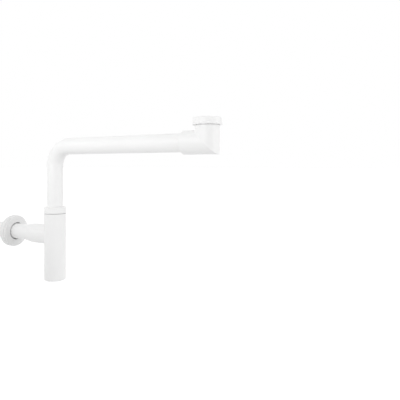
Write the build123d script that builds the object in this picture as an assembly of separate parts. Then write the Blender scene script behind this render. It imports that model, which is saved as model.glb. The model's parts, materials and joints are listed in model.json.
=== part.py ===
from build123d import *
import os

# Space-saving basin trap with a dip tube, in millimetres.
# The origin is on the wall face, on the axis of the wall pipe. +X runs away from the wall, +Z is up.

# Pipes
pipe_od = 32.0
pipe_wall = 2.0
pipe_end_bevel = 1.0
run_clear = 0.05  # seal on a pipe
slide_clear = 0.3  # moulded bore round a pipe, or round another moulding

# Where the axes lie
wall_to_body = 124.0
body_to_inlet = 335.0
arm_rise = 176.5  # arm axis above the outlet axis
outlet_height = 88.5  # outlet axis above the underside of the body

# Wall pipe
wall_tail = 45.0  # length that goes into the wall
mark_width = 1.2  # groove that marks the depth of the tail
mark_depth = 0.4

# Sockets with a push-in lip seal
seal_width = 6.0
seal_thick = 2.0
seal_lip = 0.8
seal_play = 0.1
mouth_lip = 2.2
mouth_round = 2.5
mouth_lead = 0.9  # bevel that leads a pipe into the mouth
stop_gap = 3.5  # room between a pipe's end and the stop behind it
stop_thick = 3.0

# Trap body
body_od = 42.8
body_wall = 2.0
body_height = 131.5  # underside to the seam under the cap
bottom_wall = 2.4
bottom_round = 2.2
shoulder_thick = 2.4
outlet_od = 39.0
outlet_lip = 0.9  # wall at the mouth of the outlet socket
outlet_reach = 73.0  # mouth of the outlet socket from the body axis
outlet_swell_end = 54.0  # where the swell of the socket ends, from the body axis
outlet_inset = 27.0  # end of the wall pipe from the body axis
dip_gap = 22.0  # end of the dip tube above the underside of the body

# Screw cap on the neck of the body
neck_od = 37.4
neck_wall = 2.0
neck_height = 8.6
seat_depth = 2.0  # cone in the mouth of the neck
cap_seam = 0.8
cap_height = 13.0
cap_top_wall = 2.2
cap_edge = 0.8
slip_ring_thick = 1.2

# Dip pipe
bend_radius = 38.0

# Inlet elbow
elbow_od = 40.0
elbow_wall = 2.7
elbow_reach = 43.5  # mouth of the socket from the inlet axis
arm_inset = 27.0  # end of the arm from the inlet axis
leg_rise = 27.05  # shoulder of the leg above the arm axis
collar_od = 40.8
collar_thick = 2.4
collar_neck_wall = 1.6

# Union nut, for a parallel pipe thread of 41.91 mm
thread_od = 41.92
nut_od = 47.4
nut_height = 12.0
nut_lip = 2.2
nut_shadow_gap = 0.45
nut_grip_height = 4.0
nut_grip_proud = 0.5
nut_edge = 1.4
grip_count = 24
grip_flute_r = 1.6
grip_flute_depth = 0.45
washer_thick = 2.0

# Wall rosette
rosette_od = 65.0
rosette_depth = 13.6
rosette_wall = 1.8
rosette_round = 3.0
rosette_dish = 1.4  # how far the face falls from the hole to the rim
rosette_hole_gap = 2.0  # round the pipe at the face
rosette_guide_gap = 0.6  # round the pipe at the wall
rosette_guide_depth = 5.0

# Worked out from the sizes above
pipe_r = pipe_od / 2
bore_r = pipe_r - pipe_wall
socket_r = pipe_r + slide_clear
groove_r = pipe_r + seal_thick + seal_play
body_x = wall_to_body
inlet_x = wall_to_body + body_to_inlet
body_r = body_od / 2
body_bore_r = body_r - body_wall
underside_z = -outlet_height
seam_z = underside_z + body_height
neck_top_z = seam_z + neck_height
neck_r = neck_od / 2
neck_bore_r = neck_r - neck_wall
cap_z = seam_z + cap_seam
cap_top_z = cap_z + cap_height
cap_roof_z = cap_top_z - cap_top_wall
outlet_mouth_x = body_x - outlet_reach
outlet_full_x = body_x - outlet_swell_end
outlet_groove_x = outlet_full_x + mouth_lip
wall_pipe_end_x = body_x - outlet_inset
elbow_mouth_x = inlet_x - elbow_reach
elbow_groove_x = elbow_mouth_x + mouth_lip
arm_end_x = inlet_x - arm_inset
elbow_r = elbow_od / 2
elbow_bore_r = elbow_r - elbow_wall
leg_top_z = arm_rise + leg_rise
nut_z = leg_top_z + nut_shadow_gap
nut_top_z = nut_z + nut_height
collar_r = collar_od / 2
collar_z = nut_z + nut_lip + seal_play
collar_top_z = collar_z + collar_thick
collar_neck_r = elbow_bore_r + collar_neck_wall
washer_top_z = collar_top_z + washer_thick
thread_r = thread_od / 2
nut_r = nut_od / 2
along_x = Plane(origin=(0, 0, 0), x_dir=(1, 0, 0), z_dir=(0, -1, 0))


def turned(points, axis):
    """A solid of revolution from a closed outline given as (along or out, up) points in the XZ plane."""
    outline = make_face(Polyline(*points, close=True))
    return revolve(along_x * outline, axis)


def ring_x(x0, x1, r_in, r_out):
    """A plain ring round the X axis."""
    return turned([(x0, r_in), (x1, r_in), (x1, r_out), (x0, r_out)], Axis.X)


def ring_z(z0, z1, r_in, r_out):
    """A plain ring round the Z axis."""
    return turned([(r_in, z0), (r_out, z0), (r_out, z1), (r_in, z1)], Axis.Z)


def rod_x(x0, x1, radius):
    """A round bar along the X axis."""
    return Plane(origin=(x0, 0, 0), z_dir=(1, 0, 0)) * extrude(Circle(radius), x1 - x0)


def rod_z(z0, z1, radius):
    """A round bar along the Z axis."""
    return Pos(0, 0, z0) * extrude(Circle(radius), z1 - z0)


def cone_x(x0, radius, depth):
    """A 45 degree cone along +X that narrows from a radius at x0."""
    return turned([(x0, 0), (x0 + depth, 0), (x0 + depth, radius - depth), (x0, radius)], Axis.X)


def socket_bore(mouth_x, groove_x, pipe_end_x, way_r, far_x):
    """What a push-in socket leaves open: mouth, seal groove, pipe bore and the way on past the stop."""
    stop_x = pipe_end_x + stop_gap
    pipe_bore = rod_x(mouth_x - mouth_lip, stop_x, socket_r)
    groove = rod_x(groove_x, groove_x + seal_width + 2 * seal_play, groove_r)
    return pipe_bore + groove + rod_x(stop_x, far_x, way_r)


def lip_seal(groove_x):
    """A rubber ring for a push-in socket, with a lip that leans in on the pipe."""
    x0 = groove_x + seal_play
    x1 = x0 + seal_width
    r_out = groove_r - seal_play
    r_in = pipe_r + run_clear
    return turned(
        [
            (x0, r_in + seal_lip),
            (x0 + seal_lip, r_in),
            (x0 + seal_width / 2, r_in),
            (x0 + seal_width / 2 + seal_lip, r_in + seal_lip),
            (x1, r_in + seal_lip),
            (x1, r_out),
            (x0, r_out),
        ],
        Axis.X,
    )


def wall_pipe():
    length = wall_pipe_end_x + wall_tail
    tube = Pos(-wall_tail, 0, 0) * ring_x(0, length, bore_r, pipe_r)
    mark = ring_x(0, mark_width, pipe_r - mark_depth, pipe_r + mark_depth)
    tube = chamfer(tube.edges().filter_by(GeomType.CIRCLE).sort_by(Axis.X)[0:2].sort_by(SortBy.RADIUS)[-1],
                   pipe_end_bevel)
    return tube - mark


def wall_rosette():
    """A round cover with a hollow back, and a collar that guides it on the pipe."""
    hole_r = pipe_r + rosette_hole_gap
    guide_r = pipe_r + rosette_guide_gap
    guide_bevel = hole_r - guide_r
    rim_r = rosette_od / 2
    collar_out_r = hole_r + rosette_wall
    rim_x = rosette_depth - rosette_dish
    with BuildPart() as shell:
        with BuildSketch(along_x):
            with BuildLine():
                Polyline((0, rim_r), (rim_x - rosette_round, rim_r))
                RadiusArc((rim_x - rosette_round, rim_r), (rim_x, rim_r - rosette_round), -rosette_round)
                Polyline(
                    (rim_x, rim_r - rosette_round),
                    (rosette_depth, hole_r),
                    (rosette_guide_depth + guide_bevel, hole_r),
                    (rosette_guide_depth, guide_r),
                    (0, guide_r),
                    (0, collar_out_r),
                    (rosette_depth - rosette_wall, collar_out_r),
                    (rim_x - rosette_wall, rim_r - rosette_round),
                )
                RadiusArc(
                    (rim_x - rosette_wall, rim_r - rosette_round),
                    (rim_x - rosette_round, rim_r - rosette_wall),
                    rosette_round - rosette_wall,
                )
                Polyline((rim_x - rosette_round, rim_r - rosette_wall), (0, rim_r - rosette_wall), (0, rim_r))
            make_face()
        revolve(axis=Axis.X)
    return shell.part


def outlet_spout():
    """The outside of the outlet socket: a thin lip on the pipe that swells up to hold the seal."""
    mouth = (outlet_mouth_x, socket_r + outlet_lip)
    full = (outlet_full_x, outlet_od / 2)
    with BuildPart() as spout:
        with BuildSketch(along_x):
            with BuildLine():
                Spline(mouth, full, tangents=((1, 0), (1, 0)))
                Polyline(full, (body_x, outlet_od / 2), (body_x, 0), (outlet_mouth_x, 0), mouth)
            make_face()
        revolve(axis=Axis.X)
    return spout.part


def trap_body():
    barrel = rod_z(underside_z, seam_z, body_r)
    barrel = fillet(barrel.edges().sort_by(Axis.Z)[0], bottom_round)
    neck = rod_z(seam_z, neck_top_z, neck_r)
    outer = Pos(body_x, 0, 0) * (barrel + neck)
    cavity = rod_z(underside_z + bottom_wall, seam_z - shoulder_thick, body_bore_r)
    cavity += rod_z(underside_z + bottom_wall, neck_top_z, neck_bore_r)
    seat = Pos(0, 0, neck_top_z - seat_depth) * extrude(Circle(neck_bore_r), seat_depth, taper=-45)
    way_in = socket_bore(outlet_mouth_x, outlet_groove_x, wall_pipe_end_x, bore_r, body_x)
    return outer + outlet_spout() - Pos(body_x, 0, 0) * (cavity + seat) - way_in


def body_cap():
    cap = ring_z(cap_z, cap_top_z, socket_r, body_r)
    cap -= rod_z(cap_z, cap_roof_z, neck_r + slide_clear)
    rims = cap.edges().filter_by(GeomType.CIRCLE).sort_by(SortBy.RADIUS)[-2:]
    return Pos(body_x, 0, 0) * chamfer(rims, cap_edge)


def cap_seal():
    """A rubber cone that the cap presses into the mouth of the neck."""
    r_in = pipe_r + run_clear
    foot_r = neck_bore_r - seal_play
    cone_z = neck_top_z - seat_depth + seal_play
    head_r = foot_r + seat_depth
    head_z = cap_roof_z - slip_ring_thick - seal_play
    ring = turned(
        [
            (r_in, cone_z),
            (foot_r, cone_z),
            (head_r, cone_z + seat_depth),
            (head_r, head_z),
            (r_in, head_z),
        ],
        Axis.Z,
    )
    return Pos(body_x, 0, 0) * ring


def cap_slip_ring():
    """A thin hard ring that lets the cap turn on its seal."""
    z1 = cap_roof_z - seal_play
    r_out = neck_bore_r + seat_depth - seal_play
    return Pos(body_x, 0, 0) * ring_z(z1 - slip_ring_thick, z1, socket_r, r_out)


def dip_pipe():
    """The dip tube, the bend and the arm, moulded as one pipe."""
    bend_z = arm_rise - bend_radius
    bend_x = body_x + bend_radius
    drop = Pos(body_x, 0, 0) * ring_z(underside_z + dip_gap, bend_z, bore_r, pipe_r)
    section = Plane(origin=(body_x, 0, bend_z), z_dir=(0, 0, 1)) * (Circle(pipe_r) - Circle(bore_r))
    bend_axis = Axis((bend_x, 0, bend_z), (0, 1, 0))
    bend = revolve(section, bend_axis, revolution_arc=90)
    arm = Pos(0, 0, arm_rise) * ring_x(bend_x, arm_end_x, bore_r, pipe_r)
    tip_edge = arm.edges().filter_by(GeomType.CIRCLE).sort_by(Axis.X)[-2:].sort_by(SortBy.RADIUS)[-1]
    return drop + bend + chamfer(tip_edge, pipe_end_bevel)


def inlet_elbow():
    """A mitred elbow: a push-in socket for the arm, and a leg with a collar that the nut hooks under."""
    mouth = Plane(origin=(elbow_mouth_x, 0, arm_rise), z_dir=(1, 0, 0))
    corner = (inlet_x, 0, arm_rise)
    outer_route = Polyline((elbow_mouth_x, 0, arm_rise), corner, (inlet_x, 0, leg_top_z))
    outer = sweep(mouth * Circle(elbow_r), path=outer_route, transition=Transition.RIGHT)
    outer = fillet(outer.edges().filter_by(GeomType.CIRCLE).sort_by(Axis.X)[0], mouth_round)
    collar_stem = rod_z(leg_top_z, collar_z, collar_neck_r) + rod_z(collar_z, collar_top_z, collar_r)
    outer += Pos(inlet_x, 0, 0) * collar_stem
    chamber_x = arm_end_x + stop_gap + stop_thick
    chamber = Plane(origin=(chamber_x, 0, arm_rise), z_dir=(1, 0, 0))
    inner_route = Polyline((chamber_x, 0, arm_rise), corner, (inlet_x, 0, collar_top_z))
    way = sweep(chamber * Circle(elbow_bore_r), path=inner_route, transition=Transition.RIGHT)
    bore = socket_bore(elbow_mouth_x, elbow_groove_x, arm_end_x, bore_r, chamber_x + stop_thick)
    lead = cone_x(elbow_mouth_x, socket_r + mouth_lead, mouth_lead)
    return outer - way - Pos(0, 0, arm_rise) * (bore + lead)


def basin_washer():
    return Pos(inlet_x, 0, 0) * ring_z(collar_top_z, washer_top_z, elbow_bore_r, collar_r - seal_play)


def basin_nut():
    nut = rod_z(nut_z, nut_top_z, nut_r)
    nut = chamfer(nut.edges().sort_by(Axis.Z)[-1], nut_edge)
    grip = rod_z(nut_z, nut_z + nut_grip_height, nut_r + nut_grip_proud)
    flute_at = nut_r + nut_grip_proud + grip_flute_r - grip_flute_depth
    flute = rod_z(nut_z, nut_z + nut_grip_height, grip_flute_r)
    for spot in PolarLocations(flute_at, grip_count):
        grip -= spot * flute
    nut += grip
    nut -= rod_z(nut_z, nut_top_z, collar_neck_r + slide_clear)
    nut -= rod_z(nut_z + nut_lip, washer_top_z, collar_r + slide_clear)
    nut -= rod_z(washer_top_z, nut_top_z, thread_r)
    return Pos(inlet_x, 0, 0) * nut


os.makedirs("parts", exist_ok=True)
nodes = {
    "wall_pipe": wall_pipe(),
    "wall_rosette": wall_rosette(),
    "outlet_seal": lip_seal(outlet_groove_x),
    "trap_body": trap_body(),
    "body_cap": body_cap(),
    "cap_seal": cap_seal(),
    "cap_slip_ring": cap_slip_ring(),
    "dip_pipe": dip_pipe(),
    "elbow_seal": Pos(0, 0, arm_rise) * lip_seal(elbow_groove_x),
    "inlet_elbow": inlet_elbow(),
    "basin_washer": basin_washer(),
    "basin_nut": basin_nut(),
}
for name, shape in nodes.items():
    export_step(shape, f"parts/{name}.step")
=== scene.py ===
import bpy
import json
import math
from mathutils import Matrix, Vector


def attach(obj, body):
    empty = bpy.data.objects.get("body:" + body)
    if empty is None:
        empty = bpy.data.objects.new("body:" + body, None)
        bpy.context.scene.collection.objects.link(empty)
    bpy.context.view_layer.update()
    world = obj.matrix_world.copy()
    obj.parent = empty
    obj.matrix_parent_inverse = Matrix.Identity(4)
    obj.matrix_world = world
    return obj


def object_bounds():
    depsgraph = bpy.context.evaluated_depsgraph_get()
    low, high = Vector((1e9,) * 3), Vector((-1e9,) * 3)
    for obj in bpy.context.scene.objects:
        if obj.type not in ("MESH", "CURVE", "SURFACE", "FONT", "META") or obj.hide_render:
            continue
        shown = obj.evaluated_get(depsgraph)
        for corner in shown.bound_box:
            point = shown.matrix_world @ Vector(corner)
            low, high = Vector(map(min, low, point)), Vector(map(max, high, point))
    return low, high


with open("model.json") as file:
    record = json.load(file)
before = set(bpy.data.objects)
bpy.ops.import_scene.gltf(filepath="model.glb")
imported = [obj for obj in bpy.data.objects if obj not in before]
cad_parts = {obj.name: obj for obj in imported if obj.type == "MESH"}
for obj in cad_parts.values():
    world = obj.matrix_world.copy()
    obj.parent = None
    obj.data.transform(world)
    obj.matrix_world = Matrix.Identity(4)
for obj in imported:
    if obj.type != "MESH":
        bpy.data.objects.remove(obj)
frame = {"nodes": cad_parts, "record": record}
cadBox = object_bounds()
nodes = frame["nodes"]
mounts = {mount["name"]: mount for mount in frame["record"]["mounts"]}
mm = 0.001
print("frame loaded:", len(nodes), "pieces")


# small helpers
def deselectAll():
    bpy.ops.object.select_all(action="DESELECT")


def takeActive(piece):
    deselectAll()
    piece.select_set(True)
    bpy.context.view_layer.objects.active = piece


def link(tree, outSocket, inSocket):
    tree.links.new(outSocket, inSocket)


def addNode(tree, kind, **values):
    # a value is the node's own setting, or else the socket of that name
    node = tree.nodes.new(kind)
    for name, value in values.items():
        if hasattr(node, name):
            setattr(node, name, value)
        else:
            node.inputs[name].default_value = value
    return node


def mapRange(tree, fromRange, toRange):
    node = tree.nodes.new("ShaderNodeMapRange")
    node.inputs["From Min"].default_value, node.inputs["From Max"].default_value = fromRange
    node.inputs["To Min"].default_value, node.inputs["To Max"].default_value = toRange
    return node


def tintRamp(tree, fac, stops):
    ramp = tree.nodes.new("ShaderNodeValToRGB")
    for element, (position, colour) in zip(ramp.color_ramp.elements, stops):
        element.position = position
        element.color = (*colour, 1)
    link(tree, fac, ramp.inputs["Fac"])
    return ramp


def newMaterial(name):
    material = bpy.data.materials.new(name)
    material.use_nodes = True
    tree = material.node_tree
    return material, tree, tree.nodes["Principled BSDF"]


# surface effects that the finishes share, as shader groups
def newGroup(name, inputs, outputs):
    group = bpy.data.node_groups.new(name, "ShaderNodeTree")
    for label, value in inputs.items():
        socket = group.interface.new_socket(name=label, in_out="INPUT", socket_type="NodeSocketFloat")
        socket.default_value = value
    for label in outputs:
        group.interface.new_socket(name=label, in_out="OUTPUT", socket_type="NodeSocketFloat")
    return group, group.nodes.new("NodeGroupInput"), group.nodes.new("NodeGroupOutput")


def useGroup(tree, group, values):
    node = tree.nodes.new("ShaderNodeGroup")
    node.node_tree = group
    for label, value in values.items():
        node.inputs[label].default_value = value
    return node


mouldedSkinSet = {
    "inputs": {"Peel Scale": 900.0, "Wave Scale": 40.0, "Peel Share": 0.35,
               "Rough Low": 0.26, "Rough High": 0.4},
    "peel": {"Detail": 2.0, "Roughness": 0.5},
    "wave": {"Detail": 3.0, "Roughness": 0.55},
    "waveRange": (0.3, 0.7),  # where most of the noise lies
}


def makeMouldedSkin():
    # fine orange-peel, slow waves of the cooling wall, and cloudy gloss
    s = mouldedSkinSet
    group, fed, out = newGroup("mouldedSkin", s["inputs"], ("Height", "Roughness", "Cloud"))
    coord = group.nodes.new("ShaderNodeTexCoord")
    peel = addNode(group, "ShaderNodeTexNoise", **s["peel"])
    wave = addNode(group, "ShaderNodeTexNoise", **s["wave"])
    for noise, label in ((peel, "Peel Scale"), (wave, "Wave Scale")):
        link(group, coord.outputs["Object"], noise.inputs["Vector"])
        link(group, fed.outputs[label], noise.inputs["Scale"])
    peelPart = addNode(group, "ShaderNodeMath", operation="MULTIPLY")
    link(group, peel.outputs["Fac"], peelPart.inputs[0])
    link(group, fed.outputs["Peel Share"], peelPart.inputs[1])
    height = addNode(group, "ShaderNodeMath", operation="ADD")
    link(group, wave.outputs["Fac"], height.inputs[0])
    link(group, peelPart.outputs[0], height.inputs[1])
    rough = mapRange(group, s["waveRange"], (0, 1))
    link(group, wave.outputs["Fac"], rough.inputs["Value"])
    link(group, fed.outputs["Rough Low"], rough.inputs["To Min"])
    link(group, fed.outputs["Rough High"], rough.inputs["To Max"])
    link(group, height.outputs[0], out.inputs["Height"])
    link(group, rough.outputs["Result"], out.inputs["Roughness"])
    link(group, wave.outputs["Fac"], out.inputs["Cloud"])
    return group


partingLineSet = {"Width": 0.3 * mm}


def makePartingLine():
    # the hair line that the two halves of a mould leave in the plane Y = 0
    group, fed, out = newGroup("partingLine", partingLineSet, ("Line",))
    coord = group.nodes.new("ShaderNodeTexCoord")
    split = group.nodes.new("ShaderNodeSeparateXYZ")
    away = addNode(group, "ShaderNodeMath", operation="ABSOLUTE")
    line = mapRange(group, (0, 1), (1, 0))
    link(group, coord.outputs["Object"], split.inputs[0])
    link(group, split.outputs["Y"], away.inputs[0])
    link(group, away.outputs[0], line.inputs["Value"])
    link(group, fed.outputs["Width"], line.inputs["From Max"])
    link(group, line.outputs["Result"], out.inputs["Line"])
    return group


mouldedSkin = makeMouldedSkin()
partingLine = makePartingLine()
print("surface effects made")


def layFinish(tree, shader, skinValues, stops):
    # skin, tint and gloss that every finish has
    skin = useGroup(tree, mouldedSkin, skinValues)
    tint = tintRamp(tree, skin.outputs["Cloud"], stops)
    link(tree, tint.outputs["Color"], shader.inputs["Base Color"])
    link(tree, skin.outputs["Roughness"], shader.inputs["Roughness"])
    return skin


def raiseSurface(tree, shader, height, strength, distance, under=None):
    bump = addNode(tree, "ShaderNodeBump", Strength=strength, Distance=distance)
    link(tree, height, bump.inputs["Height"])
    if under:
        link(tree, under.outputs["Normal"], bump.inputs["Normal"])
    link(tree, bump.outputs["Normal"], shader.inputs["Normal"])
    return bump


white = (0.87, 0.87, 0.868)
# painted shade: the rosette's white is made greyer to stand in for the shade that falls on it near the
# wall
coverShadedWhite = (0.81, 0.81, 0.808)  # the rosette is a shade greyer
whiteFinishSet = {  # tube is the smoothest, and has the slowest waves
    "whitePipe": {"colour": white, "withLine": True, "waves": 26.0, "rough": (0.28, 0.32)},
    "whiteMoulding": {"colour": white, "withLine": True, "waves": 45.0, "rough": (0.32, 0.37)},
    "whiteNut": {"colour": white, "withLine": False, "waves": 70.0, "rough": (0.34, 0.4)},
    "whiteCoverShaded": {"colour": coverShadedWhite, "withLine": False, "waves": 50.0, "rough": (0.36, 0.42)},
}
whitePlasticSet = {
    "shade": 0.009, "cloud": (0.35, 0.65), "ior": 1.49, "specular": 0.5,
    "skinStrength": 0.35, "skinDistance": 0.06 * mm, "lineStrength": 0.5, "lineDistance": 0.08 * mm,
}


def makeWhitePlastic(name):
    s = whitePlasticSet
    finish = whiteFinishSet[name]
    material, tree, shader = newMaterial(name)
    darker = tuple(c - s["shade"] for c in finish["colour"])
    roughLow, roughHigh = finish["rough"]
    skinValues = {"Wave Scale": finish["waves"], "Rough Low": roughLow, "Rough High": roughHigh}
    skin = layFinish(tree, shader, skinValues, zip(s["cloud"], (darker, finish["colour"])))
    bump = raiseSurface(tree, shader, skin.outputs["Height"], s["skinStrength"], s["skinDistance"])
    if finish["withLine"]:
        line = useGroup(tree, partingLine, {})
        raiseSurface(tree, shader, line.outputs["Line"], s["lineStrength"], s["lineDistance"], under=bump)
    shader.inputs["IOR"].default_value = s["ior"]
    shader.inputs["Specular IOR Level"].default_value = s["specular"]
    return material


sealRubberSet = {
    "skin": {"Peel Scale": 1400.0, "Wave Scale": 120.0, "Rough Low": 0.55, "Rough High": 0.75},
    "stops": ((0.3, (0.022, 0.022, 0.024)), (0.7, (0.05, 0.05, 0.053))),
    "strength": 0.4, "distance": 0.08 * mm,
}


def makeSealRubber():
    s = sealRubberSet
    material, tree, shader = newMaterial("sealRubber")
    skin = layFinish(tree, shader, s["skin"], s["stops"])
    raiseSurface(tree, shader, skin.outputs["Height"], s["strength"], s["distance"])
    return material


naturalPlasticSet = {
    "skin": {"Rough Low": 0.4, "Rough High": 0.55},
    "stops": ((0.3, (0.68, 0.68, 0.63)), (0.7, (0.76, 0.76, 0.72))),
}


def makeNaturalPlastic():
    s = naturalPlasticSet
    material, tree, shader = newMaterial("naturalPlastic")
    layFinish(tree, shader, s["skin"], s["stops"])
    return material


pipePlastic = makeWhitePlastic("whitePipe")
mouldPlastic = makeWhitePlastic("whiteMoulding")
turnPlastic = makeWhitePlastic("whiteNut")
# the rosette's finish carries painted shade, a greyer copy of the white plastic
coverShadedPlastic = makeWhitePlastic("whiteCoverShaded")
sealRubber = makeSealRubber()
naturalPlastic = makeNaturalPlastic()
finishOf = {
    "wall_pipe": pipePlastic, "dip_pipe": pipePlastic,
    "trap_body": mouldPlastic, "inlet_elbow": mouldPlastic,
    "body_cap": turnPlastic, "basin_nut": turnPlastic,
    "wall_rosette": coverShadedPlastic, "cap_slip_ring": naturalPlastic,
}
for name, node in nodes.items():
    node.data.materials.clear()
    node.data.materials.append(finishOf.get(name, sealRubber))  # the rest are rubber
print("finishes given")


# the union nut's thread, one ridge that winds up inside the bore
nutThreadSet = {
    "pitch": 2.309 * mm, "height": 1.35 * mm, "crest": 0.35 * mm,
    "rootShare": 0.42,  # half width at the bore, as a share of the pitch
    "inBore": 0.1 * mm, "endGap": 0.35 * mm,
    "stepsPerTurn": 72, "weld": 0.01 * mm, "smoothAngle": 35,
}


def makeNutThread():
    s = nutThreadSet
    mount = mounts["basin_inlet"]
    boreR = mount["dims"]["r_mm"] * mm
    length = mount["dims"]["length_mm"] * mm
    root = s["pitch"] * s["rootShare"]
    turns = (length - 2 * root - 2 * s["endGap"]) / s["pitch"]
    startZ = -length + s["endGap"] + root
    deselectAll()
    bpy.ops.mesh.primitive_plane_add(size=1.0, location=(0, 0, 0))
    ridge = bpy.context.object
    ridge.name = "nutThread"
    # the plane's corners, in turn, become the ridge's section
    section = [(boreR + s["inBore"], -root), (boreR - s["height"], -s["crest"] / 2),
               (boreR - s["height"], s["crest"] / 2), (boreR + s["inBore"], root)]
    corners = sorted(ridge.data.vertices, key=lambda v: math.atan2(v.co.y, v.co.x))
    for corner, (r, z) in zip(corners, section):
        corner.co = (r, 0, startZ + z)
    screw = ridge.modifiers.new("wind", "SCREW")
    screw.axis = "Z"
    screw.angle = turns * 2 * math.pi
    screw.screw_offset = turns * s["pitch"]
    screw.steps = screw.render_steps = round(turns * s["stepsPerTurn"])
    screw.use_merge_vertices = False
    screw.use_normal_calculate = True
    takeActive(ridge)
    bpy.ops.object.modifier_apply(modifier="wind")
    bpy.ops.object.mode_set(mode="EDIT")
    bpy.ops.mesh.select_all(action="SELECT")
    bpy.ops.mesh.remove_doubles(threshold=s["weld"])
    bpy.ops.mesh.select_all(action="DESELECT")
    bpy.ops.mesh.select_non_manifold()
    bpy.ops.mesh.fill()  # closes both ends
    bpy.ops.mesh.select_all(action="SELECT")
    bpy.ops.mesh.normals_make_consistent(inside=False)
    bpy.ops.object.mode_set(mode="OBJECT")
    ridge.location = mount["pos_m"]
    bpy.ops.object.transform_apply(location=True, rotation=True, scale=True)
    bpy.ops.object.shade_smooth_by_angle(angle=math.radians(s["smoothAngle"]))
    ridge.data.materials.append(turnPlastic)
    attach(ridge, "basin_nut")


makeNutThread()
print("nut thread wound")


# camera at the photograph's place, level
cameraSet = {"azimuth": 29.804, "at": (0.7510, -0.6240, 0.1379), "lens": 38.387, "sensor": 36.0,
             "shiftX": 0.07, "shiftY": -0.0851}


def makeCamera():
    s = cameraSet
    camera = bpy.data.cameras.new("photoCamera")
    camera.lens = s["lens"]
    camera.sensor_width = s["sensor"]
    camera.sensor_fit = "HORIZONTAL"
    camera.shift_x = s["shiftX"]
    camera.shift_y = s["shiftY"]
    holder = bpy.data.objects.new("photoCamera", camera)
    bpy.context.scene.collection.objects.link(holder)
    holder.location = s["at"]
    holder.rotation_euler = (math.radians(90), 0, math.radians(s["azimuth"]))
    bpy.context.scene.camera = holder


makeCamera()
print("camera set")


# pale floor and room
stageSet = {
    "drop": 0.32, "floorSide": 160.0, "floorColour": (0.82, 0.82, 0.82), "floorRough": 0.8,
    "lift": 0.42,  # added to the floor where it is seen, so that it shows white
    "front": (0.49, 0.49, 0.49), "back": (1.0, 1.0, 1.0), "frontTilt": 0.15, "strength": 1.12,
}


def pickByRay(tree, lit, shown):
    # shows one shader to the camera, gloss and glass, and lights with the other
    path = tree.nodes.new("ShaderNodeLightPath")
    sharp = addNode(tree, "ShaderNodeMath", operation="MAXIMUM")
    seen = addNode(tree, "ShaderNodeMath", operation="MAXIMUM")
    pick = tree.nodes.new("ShaderNodeMixShader")
    link(tree, path.outputs["Is Glossy Ray"], sharp.inputs[0])
    link(tree, path.outputs["Is Transmission Ray"], sharp.inputs[1])
    link(tree, path.outputs["Is Camera Ray"], seen.inputs[0])
    link(tree, sharp.outputs[0], seen.inputs[1])
    link(tree, seen.outputs[0], pick.inputs["Fac"])
    link(tree, lit.outputs[0], pick.inputs[1])
    link(tree, shown.outputs[0], pick.inputs[2])
    return pick


def makeFloor():
    s = stageSet
    low = cadBox[0]
    deselectAll()
    bpy.ops.mesh.primitive_plane_add(size=s["floorSide"], location=(0, 0, low[2] - s["drop"]))
    floor = bpy.context.object
    floor.name = "floor"
    material, tree, shader = newMaterial("paleFloor")
    shader.inputs["Base Color"].default_value = (*s["floorColour"], 1)
    shader.inputs["Roughness"].default_value = s["floorRough"]
    glow = addNode(tree, "ShaderNodeEmission", Strength=s["lift"])
    both = tree.nodes.new("ShaderNodeAddShader")
    link(tree, shader.outputs[0], both.inputs[0])
    link(tree, glow.outputs[0], both.inputs[1])
    pick = pickByRay(tree, shader, both)
    link(tree, pick.outputs[0], tree.nodes["Material Output"].inputs["Surface"])
    floor.data.materials.append(material)


def makeWorld():
    # soft light that is strongest behind the part, as from a white backdrop
    s = stageSet
    world = bpy.data.worlds.new("paleRoom")
    bpy.context.scene.world = world
    world.use_nodes = True
    tree = world.node_tree
    tree.nodes.clear()
    turn = math.radians(cameraSet["azimuth"])
    frontWay = Vector((math.sin(turn), -math.cos(turn), s["frontTilt"])).normalized()
    coord = tree.nodes.new("ShaderNodeTexCoord")
    facing = addNode(tree, "ShaderNodeVectorMath", operation="DOT_PRODUCT")
    facing.inputs[1].default_value = frontWay
    link(tree, coord.outputs["Generated"], facing.inputs[0])
    rise = mapRange(tree, (-1, 1), (0, 1))
    link(tree, facing.outputs["Value"], rise.inputs["Value"])
    tint = tintRamp(tree, rise.outputs["Result"], ((0, s["back"]), (1, s["front"])))
    room = addNode(tree, "ShaderNodeBackground", Strength=s["strength"])
    link(tree, tint.outputs["Color"], room.inputs["Color"])
    plain = addNode(tree, "ShaderNodeBackground", Color=(1, 1, 1, 1), Strength=1.0)
    pick = pickByRay(tree, room, plain)
    out = tree.nodes.new("ShaderNodeOutputWorld")
    link(tree, pick.outputs[0], out.inputs["Surface"])


# places are measured from the middle of the part
lampSet = {
    "frontBank": {"at": (0.04, -0.56, 0.26), "aim": (0.04, 0, 0.12), "size": (0.7, 0.4),
                  "spread": 95, "watts": 0.57},
    "leftStrip": {"at": (-0.6, -0.55, 0.3), "aim": (0, 0, 0.05), "size": (0.2, 0.7),
                  "spread": 180, "watts": 0.39},
    "rightBank": {"at": (1.8, 0.45, 0.5), "aim": (0, 0, 0), "size": (1.6, 1.2),
                  "spread": 180, "watts": 9.0},
}


def makeLamps():
    middle = (Vector(cadBox[0]) + Vector(cadBox[1])) / 2
    for name, s in lampSet.items():
        lamp = bpy.data.lights.new(name, "AREA")
        lamp.shape = "RECTANGLE"
        lamp.size, lamp.size_y = s["size"]
        lamp.spread = math.radians(s["spread"])
        lamp.energy = s["watts"]
        holder = bpy.data.objects.new(name, lamp)
        bpy.context.scene.collection.objects.link(holder)
        holder.location = middle + Vector(s["at"])
        holder.rotation_euler = (Vector(s["aim"]) - Vector(s["at"])).to_track_quat("-Z", "Y").to_euler()
        holder.visible_camera = False


makeFloor()
makeWorld()
makeLamps()
bpy.context.scene.view_settings.view_transform = "Standard"
print("stage set")
